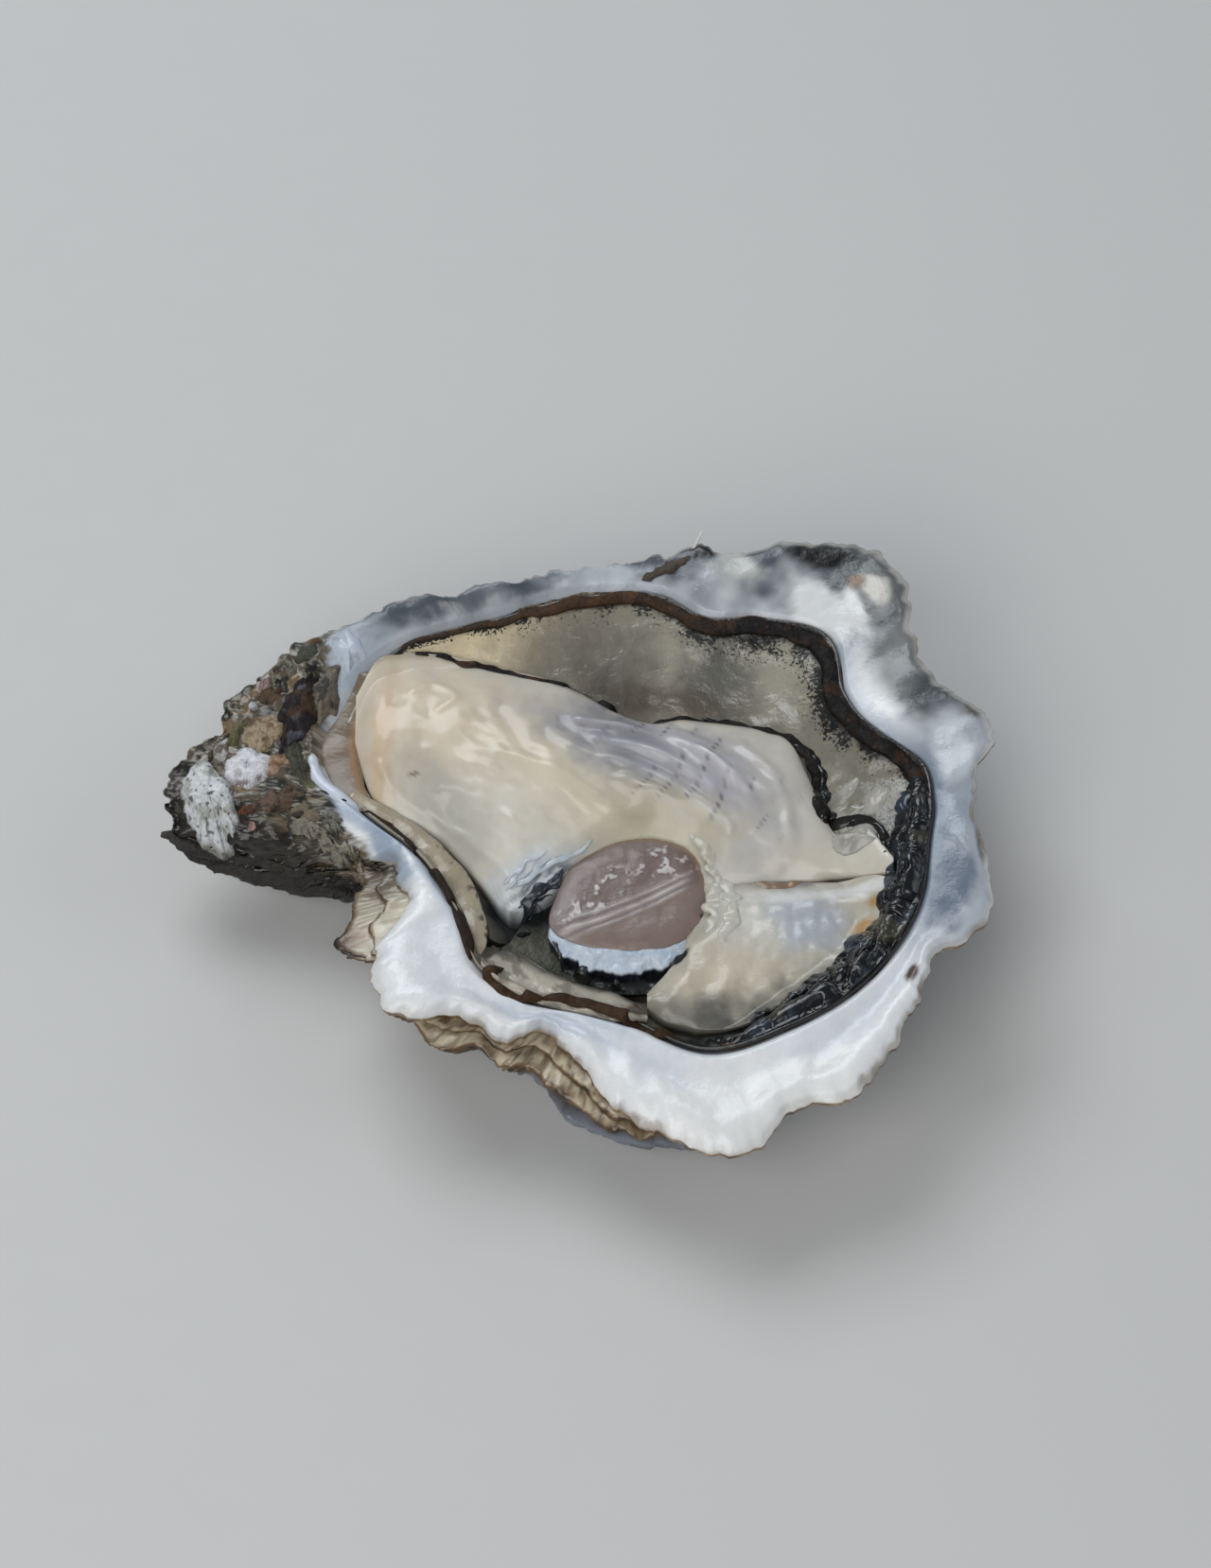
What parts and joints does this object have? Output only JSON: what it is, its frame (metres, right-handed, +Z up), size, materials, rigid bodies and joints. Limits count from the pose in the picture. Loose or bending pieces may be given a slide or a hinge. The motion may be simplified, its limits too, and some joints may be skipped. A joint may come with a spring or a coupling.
{
  "type": "oyster on the half shell",
  "caption": "Raw oyster on its deep half shell, with mantle, body, adductor muscle and liquor.",
  "frame": {"origin": "middle of the whole seen from above, on the surface it rests on", "axes": "+X from the hinge to the wide lip, +Y from the front lip to the back lip, +Z up"},
  "size_m": [0.0991, 0.0808, 0.0251],
  "materials": {
    "nacre": "satin white inside and lip, rough brown and grey layers outside",
    "mantle_flesh": "wet beige flesh with a near-black ruffled fringe",
    "body_flesh": "wet cream and grey translucent flesh",
    "muscle": "wet mauve-brown muscle",
    "white_muscle": "wet blue-white muscle",
    "liquor": "clear olive-grey liquid",
    "ligament": "dark horny ligament with a purple sheen",
    "barnacle": "chalky white and grey, speckled"
  },
  "bodies": {
    "root": {"shell": "nacre", "mantle": "mantle_flesh", "mantle_flap": "mantle_flesh", "body": "body_flesh", "lower_fold": "body_flesh", "adductor_muscle": "muscle", "catch_muscle": "white_muscle", "liquor": "liquor", "hinge_ligament": "ligament", "barnacle_1": "barnacle", "barnacle_2": "barnacle", "barnacle_3": "barnacle"}
  },
  "joints": []
}
